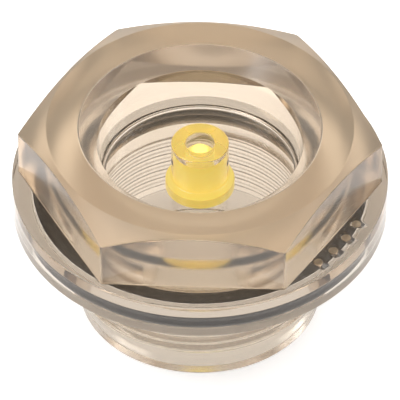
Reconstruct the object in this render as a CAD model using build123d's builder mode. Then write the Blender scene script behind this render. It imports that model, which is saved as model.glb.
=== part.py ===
from build123d import *
import math
import os

# A clear plastic oil sight glass that screws into a tank or gearbox wall.
# The axis is +Z. The open end of the spigot is at Z = 0 and the hexagon is on top.

# ---- driving dimensions, mm ----
across_flats = 46.0          # spanner size of the hexagon
hexagon_height = 9.7
head_chamfer_angle = 30.0    # chamfer that takes the corners off the hexagon
head_top_radius = 22.3       # circle where that chamfer meets the top face

flange_radius = 27.4
flange_thickness = 5.7
edge_round = 0.2             # moulded edges of the flange

thread_major_radius = 18.95  # M38 x 1.5, external
thread_pitch = 1.5
thread_sink = 0.15           # the ridge starts this far inside the spigot so that the two join
spigot_length = 17.3         # below the sealing face
lead_length = 4.6            # plain end below the thread
lead_radius = 17.75
relief_length = 2.3          # undercut between the thread and the flange
end_chamfer = 0.3

window_radius = 14.2         # recess in the head, where its wall meets the window
window_depth = 9.3           # from the top face to the window
window_thickness = 1.3
wall_top_radius = 15.0       # the wall opens upwards, up to the cone at its mouth
mouth_radius = 17.7          # cone at the mouth of the recess
mouth_depth = 2.7
bore_radius = 14.8           # hollow below the window

post_radius = 4.2            # clear tube that stands on the window
post_top_gap = 3.0           # its top is this far below the top face
stem_radius = 2.1            # coloured stem inside the clear tube
stem_tip_gap = 1.3           # tip of the stem below the top of the tube
stem_tip_height = 1.0
collar_radius = 5.05         # collar of the coloured piece, under the window
collar_thickness = 1.6

ring_section = 3.0           # O-ring, 43 x 3
ring_inner_radius = 21.5
groove_depth = 2.2
groove_outer_radius = 24.6

pip_radius = 0.7
pip_height = 0.25
pip_circle_radius = 24.8
pip_angles = [-21.5, -29.0, -36.5, -44.0]

# ---- worked out from them ----
seat_z = spigot_length
flange_top_z = seat_z + flange_thickness
top_z = flange_top_z + hexagon_height
window_top_z = top_z - window_depth
window_bottom_z = window_top_z - window_thickness
post_top_z = top_z - post_top_gap
groove_roof_z = seat_z + groove_depth
thread_height = 0.6134 * thread_pitch
thread_root_radius = thread_major_radius - thread_height
thread_bottom_z = lead_length
thread_top_z = seat_z - relief_length
corner_radius = across_flats / 2 / math.cos(math.radians(30))
wall_top_z = top_z - mouth_depth

os.makedirs("parts", exist_ok=True)


def head_envelope():
    """Solid of revolution whose upper cone takes the corners off the hexagon."""
    drop = (corner_radius + 1 - head_top_radius) * math.tan(math.radians(head_chamfer_angle))
    with BuildPart() as envelope:
        with BuildSketch(Plane.XZ):
            with BuildLine():
                Polyline(
                    (0, flange_top_z),
                    (corner_radius + 1, flange_top_z),
                    (corner_radius + 1, top_z - drop),
                    (head_top_radius, top_z),
                    (0, top_z),
                    close=True,
                )
            make_face()
        revolve(axis=Axis.Z)
    return envelope.part


def thread_ridge():
    """One helical ridge, its base sunk a little into the spigot so that the two join."""
    crest_land = thread_pitch / 8
    root_width = thread_pitch * 5 / 6
    slope = (root_width - crest_land) / 2 / thread_height
    base_width = root_width + thread_sink * slope
    base_radius = thread_root_radius - thread_sink
    turns_height = thread_top_z - thread_bottom_z + 2 * thread_pitch
    start_z = thread_bottom_z - thread_pitch
    with BuildPart() as ridge:
        with BuildLine() as path:
            Helix(thread_pitch, turns_height, base_radius, center=(0, 0, start_z))
        with BuildSketch(Plane.XZ):
            with BuildLine():
                Polyline(
                    (base_radius, start_z - base_width / 2),
                    (thread_major_radius, start_z - crest_land / 2),
                    (thread_major_radius, start_z + crest_land / 2),
                    (base_radius, start_z + base_width / 2),
                    close=True,
                )
            make_face()
        sweep(path=path.line, is_frenet=True)
    return ridge.part


def thread_envelope():
    """Band that the ridge is trimmed to, with a 45 degree start and end."""
    inside = thread_root_radius - 1
    outside = thread_major_radius + 0.5
    rise = outside - thread_root_radius
    with BuildPart() as envelope:
        with BuildSketch(Plane.XZ):
            with BuildLine():
                Polyline(
                    (inside, thread_bottom_z),
                    (thread_root_radius, thread_bottom_z),
                    (outside, thread_bottom_z + rise),
                    (outside, thread_top_z - rise),
                    (thread_root_radius, thread_top_z),
                    (inside, thread_top_z),
                    close=True,
                )
            make_face()
        revolve(axis=Axis.Z)
    return envelope.part


# ---- clear body: hexagon head, sealing flange, threaded spigot, window and tube ----
with BuildPart() as sight_glass_body:
    with BuildSketch(Plane.XY.offset(flange_top_z)):
        RegularPolygon(corner_radius, 6)
    extrude(amount=hexagon_height)
    add(head_envelope(), mode=Mode.INTERSECT)
    # flange and spigot
    with BuildSketch(Plane.XZ):
        with BuildLine():
            Polyline(
                (0, 0),
                (lead_radius - end_chamfer, 0),
                (lead_radius, end_chamfer),
                (lead_radius, lead_length),
                (thread_root_radius, lead_length),
                (thread_root_radius, seat_z),
                (flange_radius - edge_round, seat_z),
            )
            JernArc((flange_radius - edge_round, seat_z), (1, 0), edge_round, 90)
            Line((flange_radius, seat_z + edge_round), (flange_radius, flange_top_z - edge_round))
            JernArc((flange_radius, flange_top_z - edge_round), (0, 1), edge_round, 90)
            Line((flange_radius - edge_round, flange_top_z), (0, flange_top_z))
            Line((0, flange_top_z), (0, 0))
        make_face()
    revolve(axis=Axis.Z)
    # recess in the head, with a wide cone at its mouth
    with BuildSketch(Plane.XZ):
        with BuildLine():
            Polyline(
                (0, window_top_z),
                (window_radius, window_top_z),
                (wall_top_radius, wall_top_z),
                (mouth_radius, top_z),
                (mouth_radius, top_z + 1),
                (0, top_z + 1),
                close=True,
            )
        make_face()
    revolve(axis=Axis.Z, mode=Mode.SUBTRACT)
    # hollow below the window
    with BuildSketch(Plane.XY):
        Circle(bore_radius)
    extrude(amount=window_bottom_z, mode=Mode.SUBTRACT)
    # groove for the O-ring in the sealing face
    with BuildSketch(Plane.XY.offset(seat_z)):
        Circle(groove_outer_radius)
        Circle(ring_inner_radius, mode=Mode.SUBTRACT)
    extrude(amount=groove_depth, mode=Mode.SUBTRACT)
    # clear tube on the window, open right through for the coloured stem
    with BuildSketch(Plane.XY.offset(window_top_z)):
        Circle(post_radius)
    extrude(amount=post_top_z - window_top_z)
    with BuildSketch(Plane.XY.offset(window_bottom_z)):
        Circle(stem_radius)
    extrude(amount=post_top_z - window_bottom_z, mode=Mode.SUBTRACT)
    # moulded pips on the flange
    with BuildSketch(Plane.XY.offset(flange_top_z)):
        for angle in pip_angles:
            with PolarLocations(pip_circle_radius, 1, start_angle=angle):
                Circle(pip_radius)
    extrude(amount=pip_height)
    add(thread_ridge() & thread_envelope())

# ---- O-ring in the flange ----
with BuildPart() as flange_o_ring:
    ring_centre = (ring_inner_radius + ring_section / 2, groove_roof_z - ring_section / 2)
    with BuildSketch(Plane.XZ):
        with Locations(ring_centre):
            Circle(ring_section / 2)
    revolve(axis=Axis.Z)

# ---- coloured centre piece: a collar under the window and a stem up inside the tube ----
with BuildPart() as indicator_plug:
    with BuildSketch(Plane.XY.offset(window_bottom_z)):
        Circle(collar_radius)
    extrude(amount=-collar_thickness)
    with BuildSketch(Plane.XY.offset(window_bottom_z)):
        Circle(stem_radius)
    extrude(amount=post_top_z - stem_tip_gap - window_bottom_z)
    chamfer(indicator_plug.faces().sort_by(Axis.Z)[-1].edges(), stem_tip_height)

sight_glass_body.part.label = "sight_glass_body"
flange_o_ring.part.label = "flange_o_ring"
indicator_plug.part.label = "indicator_plug"

export_step(sight_glass_body.part, "parts/sight_glass_body.step")
export_step(flange_o_ring.part, "parts/flange_o_ring.step")
export_step(indicator_plug.part, "parts/indicator_plug.step")
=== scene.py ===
import math

import bmesh
import bpy
from bpy.props import FloatProperty, FloatVectorProperty, IntProperty, PointerProperty
from bpy.types import Operator, Panel, PropertyGroup
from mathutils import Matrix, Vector


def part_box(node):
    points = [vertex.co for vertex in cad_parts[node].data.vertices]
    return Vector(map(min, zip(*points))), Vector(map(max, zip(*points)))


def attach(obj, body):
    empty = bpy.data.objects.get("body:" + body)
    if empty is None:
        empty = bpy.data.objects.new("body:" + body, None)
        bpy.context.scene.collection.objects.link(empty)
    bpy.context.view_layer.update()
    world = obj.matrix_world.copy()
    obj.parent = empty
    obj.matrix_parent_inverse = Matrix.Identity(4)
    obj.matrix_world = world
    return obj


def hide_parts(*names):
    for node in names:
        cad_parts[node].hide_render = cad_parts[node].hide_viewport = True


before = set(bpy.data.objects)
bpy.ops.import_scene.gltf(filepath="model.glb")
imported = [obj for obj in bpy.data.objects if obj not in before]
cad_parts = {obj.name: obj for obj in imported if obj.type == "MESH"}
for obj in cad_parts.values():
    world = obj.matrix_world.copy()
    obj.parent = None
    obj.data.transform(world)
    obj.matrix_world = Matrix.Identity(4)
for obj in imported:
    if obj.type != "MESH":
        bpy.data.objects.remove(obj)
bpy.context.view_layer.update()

bl_info = {
    "name": "Oil Sight Glass",
    "version": (1, 0, 0),
    "blender": (4, 5, 0),
    "location": "View3D > Sidebar > Sight Glass",
    "description": "Builds a clear screw-in oil sight glass with its O-ring and yellow centre piece",
    "category": "Object",
}

MM = 0.001
BODY_LOW, BODY_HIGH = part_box("sight_glass_body")
RING_LOW, RING_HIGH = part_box("flange_o_ring")
PLUG_LOW, PLUG_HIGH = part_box("indicator_plug")
TOP = BODY_HIGH[2]
SECTORS = 6
CHAMFER_ANGLE = math.radians(30)
ARC_STEPS = 4               # pieces in a small rounded corner
HOLD = 0.02 * MM            # a point this far before and after each arc keeps its shading crisp
THREAD_ROWS = 112           # rows of faces along the thread
FLAT_STEPS = 15             # outlines across half of one hexagon flat
RING_STEPS = 40             # points round the O-ring's section

PLASTIC_IOR = 1.5
TINT_DENSITY = 30.0         # how fast thick plastic takes the depth tint
POLISHED_ROUGHNESS = 0.03
FROST_ROUGHNESS = 0.34
CLOUD_ROUGHNESS = 0.12
RIM_ROUGHNESS = 0.14        # sealing face
LIP_ROUGHNESS = 0.35        # outer lip of the sealing face
RECESS_FROST = 0.40         # share of the frosting on the head's sides and the mouth's cone
FROST_HAZE = 0.22           # share of light that the frosting stops
LIP_HAZE = 0.75
# painted glow: the yellow centre piece gives off its own light, though it is no lamp, to look brighter
YELLOW_PAINTED_GLOW = 0.5


# ---------------------------------------------------------------- sizes and colours

def length(name, description, default):
    """A size in metres, shown in the scene's own unit."""
    return FloatProperty(
        name=name, description=description, default=default,
        min=0.0, precision=5, subtype="DISTANCE", unit="LENGTH",
    )


def colour(name, description, default):
    """A plain linear colour."""
    return FloatVectorProperty(
        name=name, description=description, default=default,
        size=3, min=0.0, max=1.0, subtype="COLOR",
    )


class SightGlassBody(PropertyGroup):
    """Sizes and finish of the clear moulded body."""

    flat_radius: length("Half Across Flats", "Half of the spanner size of the hexagon", 23.0 * MM)
    corner_round: length("Hexagon Corner Round", "Round on the upright edges of the hexagon", 0.5 * MM)
    head_top_radius: length("Chamfer Circle", "Circle where the corner chamfer meets the top face", 22.3 * MM)
    head_height: length("Head Height", "Height of the hexagon above the flange", 9.7 * MM)
    flange_radius: length("Flange Radius", "Outside of the flange", BODY_HIGH[0])
    flange_thickness: length("Flange Thickness", "Height of the flange's rim", 5.7 * MM)
    groove_inner: length("Groove Inner Radius", "Inner wall of the O-ring groove", 21.5 * MM)
    groove_outer: length("Groove Outer Radius", "Outer wall of the O-ring groove", 24.6 * MM)
    groove_depth: length("Groove Depth", "Depth of the O-ring groove", 2.2 * MM)
    root_radius: length("Thread Root Radius", "Spigot below the thread's crests", 18.03 * MM)
    thread_height: length("Thread Height", "From root to crest", 0.92 * MM)
    thread_pitch: length("Thread Pitch", "Distance from one crest to the next", 1.5 * MM)
    lead_radius: length("Plain End Radius", "Plain end of the spigot", 17.75 * MM)
    lead_length: length("Plain End Length", "Length of the plain end", 4.6 * MM)
    relief_length: length("Relief Length", "Plain neck between thread and flange", 2.3 * MM)
    bore_radius: length("Bore Radius", "Hollow below the window", 14.8 * MM)
    recess_radius: length("Recess Radius", "Viewing recess where it meets the window", 14.2 * MM)
    recess_depth: length("Recess Depth", "From the top face to the window", 9.3 * MM)
    wall_top_radius: length("Wall Top Radius", "Recess wall where it meets the mouth's cone", 15.0 * MM)
    mouth_radius: length("Mouth Radius", "Cone at the mouth of the recess", 17.7 * MM)
    mouth_depth: length("Mouth Depth", "Height of that cone", 2.7 * MM)
    window_thickness: length("Window Thickness", "Clear disc between recess and bore", 1.3 * MM)
    tube_radius: length("Tube Radius", "Clear tube on the window", 4.2 * MM)
    tube_hole: length("Tube Hole", "Hole for the yellow stem", 2.1 * MM)
    tube_gap: length("Tube Gap", "Top of the tube below the top face", 3.0 * MM)
    clear_tint: colour("Clear Tint", "Tint of a polished face", (0.80, 0.745, 0.675))
    frost_tint: colour("Frost Tint", "Tint of the frosted head", (0.70, 0.535, 0.35))
    depth_tint: colour("Depth Tint", "Colour that thick plastic turns to", (0.62, 0.40, 0.12))


class SightGlassPips(PropertyGroup):
    """Sizes of the moulded pips on the flange."""

    count: IntProperty(name="Count", description="Number of pips", default=4, min=1)
    radius: length("Pip Radius", "Radius of one pip", 0.70 * MM)
    height: length("Pip Height", "Height of one pip", 0.24 * MM)
    circle: length("Pip Circle", "Radius of the circle that the pips lie on", 24.8 * MM)
    first: FloatProperty(
        name="First Angle", description="Angle of the first pip from +X",
        default=math.radians(-21.5), subtype="ANGLE", unit="ROTATION",
    )
    step: FloatProperty(
        name="Step Angle", description="Angle from one pip to the next",
        default=math.radians(-7.5), subtype="ANGLE", unit="ROTATION",
    )


class SightGlassRing(PropertyGroup):
    """Sizes and colour of the O-ring."""

    middle_radius: length("Middle Radius", "Radius of the ring's centre line", 23.0 * MM)
    section: length("Section Radius", "Radius of the ring's section", 1.46 * MM)
    flash: length("Mould Line", "Height of the mould line on the ring", 0.03 * MM)
    rubber: colour("Rubber", "Colour of the rubber", (0.030, 0.029, 0.030))


class SightGlassPlug(PropertyGroup):
    """Sizes and colour of the yellow centre piece."""

    stem_radius: length("Stem Radius", "Stem pressed into the clear tube", 2.12 * MM)
    collar_radius: length("Collar Radius", "Collar under the window", PLUG_HIGH[0])
    collar_height: length("Collar Height", "Height of the collar", 1.6 * MM)
    press: length("Press", "How far the collar presses into the window", 0.02 * MM)
    tip_height: length("Tip Height", "Cone at the tip of the stem", 1.0 * MM)
    yellow: colour("Yellow", "Colour of the centre piece", (0.96, 0.79, 0.19))


class SightGlassStage(PropertyGroup):
    """Floor, light and camera."""

    floor_size: length("Floor Size", "Side of the square floor", 3.0)
    floor_tone: colour("Floor Tone", "Colour of the floor", (0.93, 0.93, 0.935))
    floor_glow: FloatProperty(
        name="Floor Glow", description="Light that the floor gives off", default=0.4, min=0,
    )
    sky_strength: FloatProperty(
        name="Sky", description="Strength of the light from all round", default=0.95, min=0,
    )
    key_power: FloatProperty(
        name="Key Light", description="Power of the large soft light", default=1.3, unit="POWER",
    )
    fill_power: FloatProperty(
        name="Fill Light", description="Power of the second soft light", default=0.5, unit="POWER",
    )
    camera_height: FloatProperty(
        name="Camera Elevation", description="Angle of view above the horizon",
        default=math.radians(44.0), subtype="ANGLE", unit="ROTATION",
    )
    camera_turn: FloatProperty(
        name="Camera Turn", description="Angle of view round the axis",
        default=math.radians(2.55), subtype="ANGLE", unit="ROTATION",
    )
    aim_drop: length("Aim", "Aimed point below the top of the flange", 4.894 * MM)
    camera_distance: length("Camera Distance", "From the lens to the aimed point", 1.319)
    camera_lens: FloatProperty(name="Lens", description="Focal length in millimetres", default=813.2, min=1)


# ---------------------------------------------------------------- shape helpers

def soften(corners):
    """Points of a closed outline whose corners, each (r, z, round), become arcs."""
    points = []
    count = len(corners)
    for i, (r, z, size) in enumerate(corners):
        here = Vector((r, z))
        back = Vector(corners[i - 1][:2]) - here
        ahead = Vector(corners[(i + 1) % count][:2]) - here
        if size <= 0:
            points.append(here)
            continue
        back.normalize()
        ahead.normalize()
        half = back.angle(ahead) / 2
        reach = size / math.tan(half)
        centre = here + (back + ahead).normalized() * (size / math.sin(half))
        start = here + back * reach
        end = here + ahead * reach
        points.append(here + back * (reach + HOLD))
        spoke = start - centre
        turn = (end - centre).angle_signed(spoke)
        number = ARC_STEPS if size < 1 * MM else 3 * ARC_STEPS
        for k in range(number + 1):
            a = turn * k / number
            points.append(centre + Vector((
                spoke.x * math.cos(a) - spoke.y * math.sin(a),
                spoke.x * math.sin(a) + spoke.y * math.cos(a),
            )))
        points.append(here + ahead * (reach + HOLD))
    return points


def turned(name, outline_at, angles):
    """Closed mesh made of one outline per angle, joined all the way round."""
    bm = bmesh.new()
    rings = []
    for angle in angles:
        c, s = math.cos(angle), math.sin(angle)
        rings.append([bm.verts.new((p[0] * c, p[0] * s, p[1])) for p in outline_at(angle)])
    for i, ring in enumerate(rings):
        following = rings[(i + 1) % len(rings)]
        for k in range(len(ring)):
            j = (k + 1) % len(ring)
            bm.faces.new((ring[k], following[k], following[j], ring[j]))
    bmesh.ops.recalc_face_normals(bm, faces=bm.faces)
    mesh = bpy.data.meshes.new(name)
    bm.to_mesh(mesh)
    bm.free()
    mesh.shade_smooth()
    piece = bpy.data.objects.new(name, mesh)
    bpy.context.scene.collection.objects.link(piece)
    return piece


def even_angles(count):
    """Angles spaced evenly all the way round."""
    return [math.tau * i / count for i in range(count)]


def keep_result(piece, modifier):
    """Makes the modifier's result the piece's own mesh, and takes the modifier off."""
    evaluated = piece.evaluated_get(bpy.context.evaluated_depsgraph_get())
    mesh = bpy.data.meshes.new_from_object(evaluated)
    piece.modifiers.remove(modifier)
    old = piece.data
    piece.data = mesh
    bpy.data.meshes.remove(old)
    piece.data.name = piece.name


def baked(piece, tree, values):
    """Runs a node tree on the piece and keeps the result as a plain mesh."""
    modifier = piece.modifiers.new(tree.name, "NODES")
    modifier.node_group = tree
    for item in tree.interface.items_tree:
        if item.item_type == "SOCKET" and item.in_out == "INPUT" and item.name in values:
            modifier[item.identifier] = values[item.name]
    keep_result(piece, modifier)


def join(piece, other):
    """Moulds the other piece on to this one, then removes the other."""
    modifier = piece.modifiers.new("join", "BOOLEAN")
    modifier.operation = "UNION"
    modifier.solver = "EXACT"
    modifier.object = other
    keep_result(piece, modifier)
    bpy.data.objects.remove(other)


# ---------------------------------------------------------------- node helpers

class Tree:
    """Short calls for wiring a node tree."""

    def __init__(self, tree):
        self.tree = tree

    def node(self, kind, **settings):
        made = self.tree.nodes.new(kind)
        for key, value in settings.items():
            setattr(made, key, value)
        return made

    def feed(self, value, socket):
        if isinstance(value, bpy.types.NodeSocket):
            self.tree.links.new(value, socket)
        else:
            socket.default_value = value

    def math(self, operation, *inputs, clamp=False):
        made = self.node("ShaderNodeMath", operation=operation, use_clamp=clamp)
        for value, socket in zip(inputs, made.inputs):
            self.feed(value, socket)
        return made.outputs[0]

    def ramp(self, value, low, high, to_low=0.0, to_high=1.0):
        made = self.node("ShaderNodeMapRange", interpolation_type="SMOOTHSTEP")
        for given, socket in zip((value, low, high, to_low, to_high), made.inputs):
            self.feed(given, socket)
        return made.outputs[0]

    def squared(self, x, y):
        return self.math("ADD", self.math("MULTIPLY", x, x), self.math("MULTIPLY", y, y))

    def noise(self, place, scale, detail=2.0, rough=0.5):
        made = self.node("ShaderNodeTexNoise")
        self.feed(place, made.inputs["Vector"])
        self.feed(scale, made.inputs["Scale"])
        self.feed(detail, made.inputs["Detail"])
        self.feed(rough, made.inputs["Roughness"])
        return made.outputs[0]

    def blend(self, factor, first, second):
        made = self.node("ShaderNodeMix", data_type="RGBA")
        self.feed(factor, made.inputs[0])
        self.feed(first, made.inputs[6])
        self.feed(second, made.inputs[7])
        return made.outputs[2]


def new_material(name):
    material = bpy.data.materials.new(name)
    material.use_nodes = True
    tree = Tree(material.node_tree)
    shader = material.node_tree.nodes["Principled BSDF"]
    where = tree.node("ShaderNodeTexCoord")
    place = where.outputs["Object"]
    tree.normal = where.outputs["Normal"]
    return material, tree, shader, place


def new_geometry(name, inputs):
    """An empty geometry tree with named inputs and a geometry output."""
    group = bpy.data.node_groups.new(name, "GeometryNodeTree")
    group.interface.new_socket("Geometry", in_out="INPUT", socket_type="NodeSocketGeometry")
    for label, kind, default in inputs:
        socket = group.interface.new_socket(label, in_out="INPUT", socket_type=kind)
        socket.default_value = default
    group.interface.new_socket("Geometry", in_out="OUTPUT", socket_type="NodeSocketGeometry")
    tree = Tree(group)
    return group, tree, tree.node("NodeGroupInput"), tree.node("NodeGroupOutput")


def close_geometry(tree, geometry, material, output):
    """Every geometry tree ends in Realize Instances and Set Material."""
    real = tree.node("GeometryNodeRealizeInstances")
    dress = tree.node("GeometryNodeSetMaterial")
    tree.feed(geometry, real.inputs[0])
    tree.feed(real.outputs[0], dress.inputs["Geometry"])
    dress.inputs["Material"].default_value = material
    tree.feed(dress.outputs[0], output.inputs[0])


# ---------------------------------------------------------------- materials

def clear_plastic(sizes):
    """Slightly amber moulded plastic: polished window, flange and spigot, softly frosted head."""
    material, tree, shader, place = new_material("clear_plastic")
    split = tree.node("ShaderNodeSeparateXYZ")
    tree.feed(place, split.inputs[0])
    x, y, z = split.outputs
    radius = tree.math("SQRT", tree.squared(x, y))
    facing = tree.node("ShaderNodeSeparateXYZ")
    tree.feed(tree.normal, facing.inputs[0])
    head = tree.math("GREATER_THAN", z, TOP - sizes.head_height + 0.03 * MM)
    head = tree.math("MULTIPLY", head, tree.ramp(radius, 14.9 * MM, 15.1 * MM))
    top = tree.math("MULTIPLY", tree.ramp(radius, 17.45 * MM, 17.95 * MM),
                    tree.ramp(facing.outputs[2], 0.2, 0.6))
    side = tree.ramp(radius, 21.0 * MM, 22.0 * MM, 0.0, 0.02)
    coat = tree.math("MAXIMUM", top, tree.math("ADD", side, RECESS_FROST))
    frost = tree.math("MULTIPLY", head, coat)
    seat = TOP - sizes.head_height - sizes.flange_thickness
    matte = tree.math("MULTIPLY", tree.ramp(z, seat + 0.25 * MM, seat + 0.05 * MM),
                      tree.ramp(radius, 17.3 * MM, 17.6 * MM))
    cloud = tree.noise(place, 160.0, 3.0)
    grain = tree.noise(place, 3200.0, 2.0, 0.6)
    peel = tree.noise(place, 420.0, 2.0)
    rough = tree.math("MULTIPLY_ADD", frost, FROST_ROUGHNESS, POLISHED_ROUGHNESS)
    clouded = tree.math("MULTIPLY", cloud, frost)
    rough = tree.math("ADD", rough, tree.math("MULTIPLY", clouded, CLOUD_ROUGHNESS))
    lip = tree.math("MULTIPLY", tree.ramp(z, seat + 0.10 * MM, seat + 0.04 * MM),
                    tree.ramp(radius, 24.3 * MM, 24.5 * MM))
    rough = tree.math("MULTIPLY_ADD", matte, RIM_ROUGHNESS, rough)
    rough = tree.math("MULTIPLY_ADD", lip, LIP_ROUGHNESS, rough)
    tree.feed(rough, shader.inputs["Roughness"])
    tree.feed(
        tree.blend(frost, (*sizes.clear_tint, 1), (*sizes.frost_tint, 1)),
        shader.inputs["Base Color"],
    )
    clear = tree.math("MULTIPLY_ADD", frost, -FROST_HAZE, 1.0)
    clear = tree.math("MULTIPLY_ADD", lip, -LIP_HAZE, clear, clamp=True)
    tree.feed(clear, shader.inputs["Transmission Weight"])
    shader.inputs["IOR"].default_value = PLASTIC_IOR
    bump = tree.node("ShaderNodeBump")
    bump.inputs["Strength"].default_value = 0.25
    bump.inputs["Distance"].default_value = 0.02 * MM
    relief = tree.math("MULTIPLY_ADD", tree.math("MULTIPLY", grain, frost), 1.0,
                       tree.math("MULTIPLY", peel, 0.3))
    tree.feed(relief, bump.inputs["Height"])
    tree.feed(bump.outputs[0], shader.inputs["Normal"])
    depth = tree.node("ShaderNodeVolumeAbsorption")
    depth.inputs["Color"].default_value = (*sizes.depth_tint, 1)
    depth.inputs["Density"].default_value = TINT_DENSITY
    out = material.node_tree.nodes["Material Output"]
    tree.feed(depth.outputs[0], out.inputs["Volume"])
    return material


def black_rubber(sizes):
    """Moulded rubber with a fine grain and a little dust."""
    material, tree, shader, place = new_material("black_rubber")
    grain = tree.noise(place, 5200.0, 3.0, 0.65)
    dust = tree.ramp(tree.noise(place, 900.0, 4.0, 0.7), 0.56, 0.74)
    dusty = tuple(c * 4 + 0.03 for c in sizes.rubber)
    tree.feed(tree.blend(dust, (*sizes.rubber, 1), (*dusty, 1)), shader.inputs["Base Color"])
    tree.feed(tree.ramp(grain, 0.3, 0.7, 0.42, 0.68), shader.inputs["Roughness"])
    bump = tree.node("ShaderNodeBump")
    bump.inputs["Strength"].default_value = 0.5
    bump.inputs["Distance"].default_value = 0.03 * MM
    tree.feed(grain, bump.inputs["Height"])
    tree.feed(bump.outputs[0], shader.inputs["Normal"])
    return material


def yellow_plastic(sizes):
    """Satin moulded plastic that lets a little light in, with a painted yellow glow that brightens it though
    it is no lamp.
    """
    material, tree, shader, place = new_material("yellow_plastic")
    cloud = tree.noise(place, 500.0, 3.0)
    deep = tuple(c * 0.9 for c in sizes.yellow)
    tree.feed(tree.blend(cloud, (*deep, 1), (*sizes.yellow, 1)), shader.inputs["Base Color"])
    tree.feed(tree.ramp(tree.noise(place, 2600.0, 2.0), 0.3, 0.7, 0.28, 0.42), shader.inputs["Roughness"])
    # painted glow: emission in the piece's own yellow brightens it beyond what the lamps give
    tree.feed((*sizes.yellow, 1), shader.inputs["Emission Color"])
    shader.inputs["Emission Strength"].default_value = YELLOW_PAINTED_GLOW
    shader.inputs["Subsurface Weight"].default_value = 0.35
    shader.inputs["Subsurface Radius"].default_value = (1.0, 0.7, 0.15)
    shader.inputs["Subsurface Scale"].default_value = 1.5 * MM
    bump = tree.node("ShaderNodeBump")
    bump.inputs["Strength"].default_value = 0.15
    bump.inputs["Distance"].default_value = 0.01 * MM
    tree.feed(tree.noise(place, 4000.0, 2.0), bump.inputs["Height"])
    tree.feed(bump.outputs[0], shader.inputs["Normal"])
    return material


# ---------------------------------------------------------------- geometry trees

def thread_tree(material):
    """Raises one right-hand helical ridge on the spigot's plain wall."""
    group, tree, given, out = new_geometry("cut_thread", [
        ("Pitch", "NodeSocketFloat", 1.5 * MM),
        ("Root Radius", "NodeSocketFloat", 18.03 * MM),
        ("Thread Height", "NodeSocketFloat", 0.92 * MM),
        ("Thread Start", "NodeSocketFloat", 4.6 * MM),
        ("Thread End", "NodeSocketFloat", 15.0 * MM),
    ])
    pitch, root = given.outputs["Pitch"], given.outputs["Root Radius"]
    height = given.outputs["Thread Height"]
    start, end = given.outputs["Thread Start"], given.outputs["Thread End"]
    split = tree.node("ShaderNodeSeparateXYZ")
    tree.feed(tree.node("GeometryNodeInputPosition").outputs[0], split.inputs[0])
    x, y, z = split.outputs
    radius = tree.math("SQRT", tree.squared(x, y))
    turns = tree.math("DIVIDE", tree.math("ARCTAN2", y, x), math.tau)
    rise = tree.math("DIVIDE", tree.math("SUBTRACT", z, start), pitch)
    phase = tree.math("SUBTRACT", rise, turns)
    away = tree.math("ABSOLUTE", tree.math("SUBTRACT", phase, tree.math("ROUND", phase)))
    ridge = tree.math("MULTIPLY", tree.ramp(away, 0.45, 0.04), height)
    from_end = tree.math("MINIMUM", tree.math("SUBTRACT", z, start), tree.math("SUBTRACT", end, z))
    lift = tree.math("MAXIMUM", tree.math("MINIMUM", ridge, from_end), 0.0)
    on_wall = tree.math("COMPARE", radius, root, 0.01 * MM)
    lift = tree.math("DIVIDE", tree.math("MULTIPLY", lift, on_wall), radius)
    shift = tree.node("ShaderNodeCombineXYZ")
    tree.feed(tree.math("MULTIPLY", x, lift), shift.inputs[0])
    tree.feed(tree.math("MULTIPLY", y, lift), shift.inputs[1])
    place = tree.node("GeometryNodeSetPosition")
    tree.feed(given.outputs["Geometry"], place.inputs["Geometry"])
    tree.feed(shift.outputs[0], place.inputs["Offset"])
    close_geometry(tree, place.outputs[0], material, out)
    return group


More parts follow.
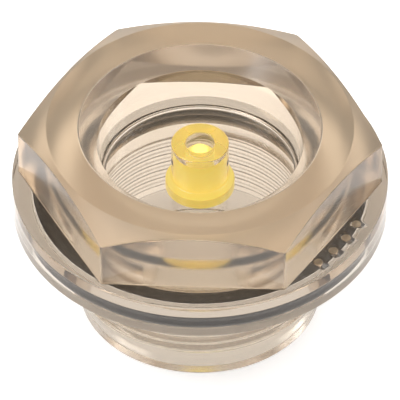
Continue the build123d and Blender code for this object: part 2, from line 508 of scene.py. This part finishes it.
def pip_tree(material):
    """Rounded pips set out along a circle."""
    group, tree, given, out = new_geometry("set_out_pips", [
        ("Count", "NodeSocketInt", 4),
        ("Radius", "NodeSocketFloat", 0.70 * MM),
        ("Height", "NodeSocketFloat", 0.24 * MM),
        ("Circle", "NodeSocketFloat", 24.8 * MM),
        ("First Angle", "NodeSocketFloat", 0.0),
        ("Step Angle", "NodeSocketFloat", 0.1),
        ("Level", "NodeSocketFloat", 0.0),
    ])
    index = tree.node("GeometryNodeInputIndex").outputs[0]
    angle = tree.math("MULTIPLY_ADD", index, given.outputs["Step Angle"], given.outputs["First Angle"])
    spot = tree.node("ShaderNodeCombineXYZ")
    tree.feed(tree.math("MULTIPLY", tree.math("COSINE", angle), given.outputs["Circle"]), spot.inputs[0])
    tree.feed(tree.math("MULTIPLY", tree.math("SINE", angle), given.outputs["Circle"]), spot.inputs[1])
    tree.feed(given.outputs["Level"], spot.inputs[2])
    points = tree.node("GeometryNodePoints")
    tree.feed(given.outputs["Count"], points.inputs["Count"])
    tree.feed(spot.outputs[0], points.inputs["Position"])
    ball = tree.node("GeometryNodeMeshUVSphere")
    ball.inputs["Segments"].default_value = 24
    ball.inputs["Rings"].default_value = 12
    ball.inputs["Radius"].default_value = 1.0
    split = tree.node("ShaderNodeSeparateXYZ")
    tree.feed(tree.node("GeometryNodeInputPosition").outputs[0], split.inputs[0])
    flat = tree.node("ShaderNodeCombineXYZ")
    tree.feed(tree.math("MULTIPLY", split.outputs[0], given.outputs["Radius"]), flat.inputs[0])
    tree.feed(tree.math("MULTIPLY", split.outputs[1], given.outputs["Radius"]), flat.inputs[1])
    middle = tree.squared(split.outputs[0], split.outputs[1])
    rise = tree.math("MULTIPLY", tree.math("MAXIMUM", split.outputs[2], 0.0),
                     tree.math("MULTIPLY_ADD", middle, 1.5, 0.15))
    sink = tree.math("MULTIPLY", tree.math("MINIMUM", split.outputs[2], 0.0), 0.3)
    tree.feed(tree.math("MULTIPLY", tree.math("ADD", rise, sink), given.outputs["Height"]), flat.inputs[2])
    dome = tree.node("GeometryNodeSetPosition")
    tree.feed(ball.outputs["Mesh"], dome.inputs["Geometry"])
    tree.feed(flat.outputs[0], dome.inputs["Position"])
    smooth = tree.node("GeometryNodeSetShadeSmooth")
    tree.feed(dome.outputs[0], smooth.inputs[0])
    spread = tree.node("GeometryNodeInstanceOnPoints")
    tree.feed(points.outputs[0], spread.inputs["Points"])
    tree.feed(smooth.outputs[0], spread.inputs["Instance"])
    close_geometry(tree, spread.outputs[0], material, out)
    return group


# ---------------------------------------------------------------- pieces

def corner_middle(sizes):
    """Distance from the axis to the centre of a corner's round."""
    return (sizes.flat_radius - sizes.corner_round) / math.cos(math.pi / SECTORS)


def corner_reach(sizes):
    """Angle from a hexagon corner to where its round meets the flat."""
    return math.atan2(
        sizes.corner_round * math.sin(math.pi / SECTORS),
        corner_middle(sizes) + sizes.corner_round * math.cos(math.pi / SECTORS),
    )


def hexagon_angles(sizes):
    """Angles round the body, close together at the hexagon's corners."""
    reach = corner_reach(sizes)
    near = [0.0, reach / 3, reach * 2 / 3, reach, reach * 1.15]
    far = math.pi / SECTORS
    spread = [near[-1] + (far - near[-1]) * k / FLAT_STEPS for k in range(1, FLAT_STEPS + 1)]
    half = near + spread
    sector = half + [math.tau / SECTORS - a for a in reversed(half[1:-1])]
    return [math.tau * n / SECTORS + a for n in range(SECTORS) for a in sector]


def hexagon_radius(angle, sizes):
    """Distance from the axis to the rounded hexagon, whose corners are on +X and every 60 degrees."""
    sector = math.tau / SECTORS
    off_corner = abs((angle + sector / 2) % sector - sector / 2)
    middle = corner_middle(sizes)
    across = middle * math.sin(off_corner)
    if across < sizes.corner_round and off_corner <= corner_reach(sizes):
        return middle * math.cos(off_corner) + math.sqrt(sizes.corner_round ** 2 - across ** 2)
    return sizes.flat_radius / math.cos(math.pi / SECTORS - off_corner)


def body_outline(angle, s):
    """Section of the body at that angle, from the tube's hole round the outside and back."""
    flange_top = TOP - s.head_height
    seat = flange_top - s.flange_thickness
    window_top = TOP - s.recess_depth
    window_low = window_top - s.window_thickness
    hexagon = hexagon_radius(angle, s)
    chamfer_z = TOP - (hexagon - s.head_top_radius) * math.tan(CHAMFER_ANGLE)
    thread_start = s.lead_length
    thread_end = seat - s.relief_length
    thread = [
        (s.root_radius, thread_start + (thread_end - thread_start) * k / THREAD_ROWS, 0)
        for k in range(THREAD_ROWS + 1)
    ]
    return soften([
        (s.tube_hole, window_low, 0.12 * MM),
        (s.bore_radius, window_low, 0.40 * MM),
        (s.bore_radius, 0.0, 0.15 * MM),
        (s.lead_radius, 0.0, 0.35 * MM),
        (s.lead_radius, thread_start, 0.08 * MM),
        *thread,
        (s.root_radius, seat, 0.25 * MM),
        (s.groove_inner, seat, 0.12 * MM),
        (s.groove_inner, seat + s.groove_depth, 0.20 * MM),
        (s.groove_outer, seat + s.groove_depth, 0.20 * MM),
        (s.groove_outer, seat, 0.12 * MM),
        (s.flange_radius, seat, 0.20 * MM),
        (s.flange_radius, flange_top, 0.20 * MM),
        (hexagon, flange_top, 0.15 * MM),
        (hexagon, chamfer_z, 0.35 * MM),
        (s.head_top_radius, TOP, 0.45 * MM),
        (s.mouth_radius, TOP, 0.40 * MM),
        (s.wall_top_radius, TOP - s.mouth_depth, 0.15 * MM),
        (s.recess_radius, window_top, 0.50 * MM),
        (s.tube_radius, window_top, 0.30 * MM),
        (s.tube_radius, TOP - s.tube_gap, 0.25 * MM),
        (s.tube_hole, TOP - s.tube_gap, 0.20 * MM),
    ])


class SIGHTGLASS_OT_body(Operator):
    """Build the clear moulded body with its thread"""

    bl_idname = "sight_glass.body"
    bl_label = "Clear Body"

    def execute(self, context):
        s = context.scene.sight_glass_body
        material = clear_plastic(s)
        body = turned("clear_body", lambda angle: body_outline(angle, s), hexagon_angles(s))
        seat = TOP - s.head_height - s.flange_thickness
        baked(body, thread_tree(material), {
            "Pitch": s.thread_pitch,
            "Root Radius": s.root_radius,
            "Thread Height": s.thread_height,
            "Thread Start": s.lead_length,
            "Thread End": seat - s.relief_length,
        })
        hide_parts("sight_glass_body")
        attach(body, "root")
        return {"FINISHED"}


class SIGHTGLASS_OT_pips(Operator):
    """Build the row of moulded pips on the flange"""

    bl_idname = "sight_glass.pips"
    bl_label = "Flange Pips"

    def execute(self, context):
        s = context.scene.sight_glass_pips
        body = context.scene.sight_glass_body
        mesh = bpy.data.meshes.new("flange_pips")
        pips = bpy.data.objects.new("flange_pips", mesh)
        context.scene.collection.objects.link(pips)
        baked(pips, pip_tree(bpy.data.materials["clear_plastic"]), {
            "Count": s.count,
            "Radius": s.radius,
            "Height": s.height,
            "Circle": s.circle,
            "First Angle": s.first,
            "Step Angle": s.step,
            "Level": TOP - body.head_height,
        })
        join(bpy.data.objects["clear_body"], pips)
        return {"FINISHED"}


class SIGHTGLASS_OT_ring(Operator):
    """Build the rubber O-ring in the flange's groove"""

    bl_idname = "sight_glass.ring"
    bl_label = "O-Ring"

    def execute(self, context):
        s = context.scene.sight_glass_ring
        level = (RING_LOW[2] + RING_HIGH[2]) / 2
        outline = []
        for k in range(RING_STEPS):
            a = math.tau * k / RING_STEPS
            proud = s.flash if k % (RING_STEPS // 2) == RING_STEPS // 4 else 0.0
            outline.append((
                s.middle_radius + (s.section + proud) * math.sin(a),
                level + (s.section + proud) * math.cos(a),
            ))
        ring = turned("o_ring", lambda angle: outline, even_angles(192))
        ring.data.materials.append(black_rubber(s))
        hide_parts("flange_o_ring")
        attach(ring, "root")
        return {"FINISHED"}


class SIGHTGLASS_OT_plug(Operator):
    """Build the yellow centre piece with its collar and stem"""

    bl_idname = "sight_glass.plug"
    bl_label = "Yellow Centre Piece"

    def execute(self, context):
        s = context.scene.sight_glass_plug
        low = PLUG_LOW[2]
        collar_top = low + s.collar_height + s.press
        high = PLUG_HIGH[2]
        tip = s.stem_radius - s.tip_height
        pole = 0.02 * MM
        outline = soften([
            (pole, low, 0),
            (s.collar_radius, low, 0.20 * MM),
            (s.collar_radius, collar_top, 0.15 * MM),
            (s.stem_radius, collar_top, 0.08 * MM),
            (s.stem_radius, high - s.tip_height, 0.20 * MM),
            (tip, high, 0.30 * MM),
            (pole, high, 0),
        ])
        plug = turned("yellow_plug", lambda angle: outline, even_angles(96))
        close_poles(plug, pole)
        plug.data.materials.append(yellow_plastic(s))
        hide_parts("indicator_plug")
        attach(plug, "root")
        return {"FINISHED"}


def close_poles(piece, pole):
    """Merges the two small rings of vertices next to the axis, and drops the thin wall between them."""
    bm = bmesh.new()
    bm.from_mesh(piece.data)
    near = [v for v in bm.verts if math.hypot(v.co.x, v.co.y) < pole * 1.5]
    walls = [f for f in bm.faces if all(math.hypot(v.co.x, v.co.y) < pole * 1.5 for v in f.verts)]
    bmesh.ops.delete(bm, geom=walls, context="FACES")
    for v in near:
        v.co.x = 0.0
        v.co.y = 0.0
    bmesh.ops.remove_doubles(bm, verts=near, dist=pole)
    bmesh.ops.recalc_face_normals(bm, faces=bm.faces)
    bm.to_mesh(piece.data)
    bm.free()
    piece.data.shade_smooth()


class SIGHTGLASS_OT_stage(Operator):
    """Set up the pale floor, the soft light and the camera"""

    bl_idname = "sight_glass.stage"
    bl_label = "Stage"

    def execute(self, context):
        s = context.scene.sight_glass_stage
        half = s.floor_size / 2
        low = -0.02 * MM
        mesh = bpy.data.meshes.new("floor")
        corners = [(-half, -half, low), (half, -half, low), (half, half, low), (-half, half, low)]
        mesh.from_pydata(corners, [], [(0, 1, 2, 3)])
        floor = bpy.data.objects.new("floor", mesh)
        context.scene.collection.objects.link(floor)
        paint, tree, shader, place = new_material("floor_paint")
        tone = tree.noise(place, 3.0, 2.0)
        pale = tuple(c * 0.985 for c in s.floor_tone)
        tree.feed(tree.blend(tone, (*pale, 1), (*s.floor_tone, 1)), shader.inputs["Base Color"])
        shader.inputs["Roughness"].default_value = 0.9
        shader.inputs["Emission Color"].default_value = (1, 1, 1, 1)
        shader.inputs["Emission Strength"].default_value = s.floor_glow
        shader.inputs["Specular IOR Level"].default_value = 0.1
        mesh.materials.append(paint)

        world = bpy.data.worlds.new("studio")
        world.use_nodes = True
        sky = world.node_tree.nodes["Background"]
        sky.inputs["Color"].default_value = (1.0, 0.995, 0.99, 1)
        sky.inputs["Strength"].default_value = s.sky_strength
        context.scene.world = world

        aim = Vector((0, 0, TOP / 2))
        for name, spot, side, power in (
            ("key_light", (-0.30, -0.10, 0.45), 0.30, s.key_power),
            ("fill_light", (0.32, 0.12, 0.36), 0.24, s.fill_power),
        ):
            lamp = bpy.data.lights.new(name, "AREA")
            lamp.shape = "SQUARE"
            lamp.size = side
            lamp.energy = power
            holder = bpy.data.objects.new(name, lamp)
            holder.location = spot
            holder.rotation_euler = (aim - Vector(spot)).to_track_quat("-Z", "Y").to_euler()
            context.scene.collection.objects.link(holder)

        body = context.scene.sight_glass_body
        target = Vector((0, 0, TOP - body.head_height - s.aim_drop))
        back = Vector((
            math.sin(s.camera_turn) * math.cos(s.camera_height),
            -math.cos(s.camera_turn) * math.cos(s.camera_height),
            math.sin(s.camera_height),
        ))
        lens = bpy.data.cameras.new("camera")
        lens.sensor_width = 36
        lens.lens = s.camera_lens
        lens.clip_start = 0.01
        lens.clip_end = 100
        camera = bpy.data.objects.new("camera", lens)
        camera.location = target + back * s.camera_distance
        camera.rotation_euler = back.to_track_quat("Z", "Y").to_euler()
        context.scene.collection.objects.link(camera)
        context.scene.camera = camera
        context.scene.view_settings.view_transform = "Standard"
        return {"FINISHED"}


class VIEW3D_PT_sight_glass(Panel):
    """Lists the pieces of the sight glass and their sizes"""

    bl_idname = "VIEW3D_PT_sight_glass"
    bl_label = "Sight Glass"
    bl_space_type = "VIEW_3D"
    bl_region_type = "UI"
    bl_category = "Sight Glass"

    def draw(self, context):
        for operator, group in STEPS:
            box = self.layout.box()
            box.operator(operator.bl_idname)
            settings = getattr(context.scene, group)
            for name in settings.__annotations__:
                box.prop(settings, name)


STEPS = (
    (SIGHTGLASS_OT_body, "sight_glass_body"),
    (SIGHTGLASS_OT_pips, "sight_glass_pips"),
    (SIGHTGLASS_OT_ring, "sight_glass_ring"),
    (SIGHTGLASS_OT_plug, "sight_glass_plug"),
    (SIGHTGLASS_OT_stage, "sight_glass_stage"),
)
GROUPS = (
    ("sight_glass_body", SightGlassBody),
    ("sight_glass_pips", SightGlassPips),
    ("sight_glass_ring", SightGlassRing),
    ("sight_glass_plug", SightGlassPlug),
    ("sight_glass_stage", SightGlassStage),
)
CLASSES = tuple(group for _, group in GROUPS) + tuple(step for step, _ in STEPS) + (VIEW3D_PT_sight_glass,)


def register():
    for cls in CLASSES:
        bpy.utils.register_class(cls)
    for name, group in GROUPS:
        setattr(bpy.types.Scene, name, PointerProperty(type=group))


def unregister():
    for name, _ in GROUPS:
        delattr(bpy.types.Scene, name)
    for cls in reversed(CLASSES):
        bpy.utils.unregister_class(cls)


def main():
    register()
    bpy.ops.sight_glass.body()
    bpy.ops.sight_glass.pips()
    bpy.ops.sight_glass.ring()
    bpy.ops.sight_glass.plug()
    bpy.ops.sight_glass.stage()
    bpy.context.view_layer.update()


if __name__ == "__main__":
    main()
